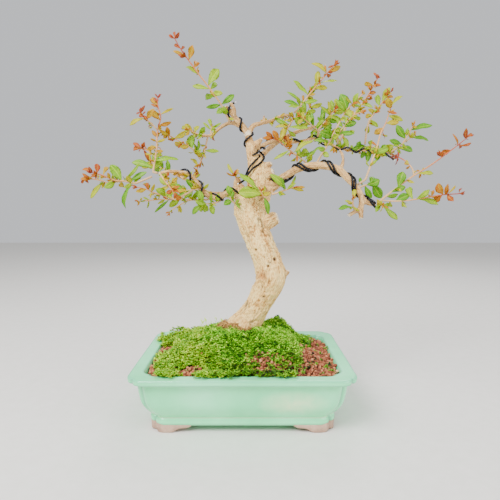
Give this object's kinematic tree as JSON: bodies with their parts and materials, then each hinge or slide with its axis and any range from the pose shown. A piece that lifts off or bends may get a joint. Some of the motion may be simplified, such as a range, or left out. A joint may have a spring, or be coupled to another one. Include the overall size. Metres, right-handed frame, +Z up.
{
  "type": "pomegranate bonsai in a pot",
  "caption": "Leaning pomegranate bonsai with a chopped, gnarled trunk, wired branches and small lime to bronze leaves, in a low celadon rectangular pot with indented corners.",
  "frame": {"origin": "on the ground under the middle of the whole object, tree and pot", "axes": "+X to the right as seen from the front, along the pot's long side; +Y to the back; +Z up"},
  "size_m": [0.5568, 0.2708, 0.5499],
  "materials": {
    "celadon_glaze": "pale celadon gloss glaze over stoneware, bare clay on the feet",
    "bark": "pale tan, fibrous, cracked bark",
    "granules": "damp reddish-brown clay granules, 3 to 6 mm",
    "moss": "mat of tiny-leaved green moss",
    "creeper": "lime-green mat of small round leaves",
    "leaf": "thin oblong leaves, lime green to bronze, on pinkish-tan stems",
    "wire": "black anodised training wire",
    "screen": "black plastic mesh"
  },
  "bodies": {
    "root": {"creeping_plants": "creeper", "drain_screen_left": "screen", "drain_screen_right": "screen", "moss": "moss", "pot": "celadon_glaze", "shoot_apex": "leaf", "shoot_back_far": "leaf", "shoot_back_high": "leaf", "shoot_back_left": "leaf", "shoot_back_low": "leaf", "shoot_back_right": "leaf", "shoot_crotch": "leaf", "shoot_crotch_right": "leaf", "shoot_far_right": "leaf", "shoot_left_arch": "leaf", "shoot_left_cluster": "leaf", "shoot_left_drop": "leaf", "shoot_left_long": "leaf", "shoot_left_mid": "leaf", "shoot_left_red": "leaf", "shoot_left_tip": "leaf", "shoot_left_upper": "leaf", "shoot_left_upright": "leaf", "shoot_middle_leaves": "leaf", "shoot_right_arch": "leaf", "shoot_right_curl": "leaf", "shoot_right_hang": "leaf", "shoot_right_inner": "leaf", "shoot_right_long": "leaf", "shoot_right_orange": "leaf", "shoot_right_pair": "leaf", "shoot_right_rise": "leaf", "shoot_right_tall": "leaf", "shoot_right_top": "leaf", "shoot_right_white": "leaf", "shoot_right_yellow": "leaf", "shoot_snag": "leaf", "shoot_stub": "leaf", "shoot_trunk_left": "leaf", "shoot_under_right": "leaf", "soil": "granules", "trunk": "bark", "wire_apex": "wire", "wire_low_left": "wire", "wire_low_right_a": "wire", "wire_low_right_b": "wire", "wire_middle": "wire"}
  },
  "joints": []
}
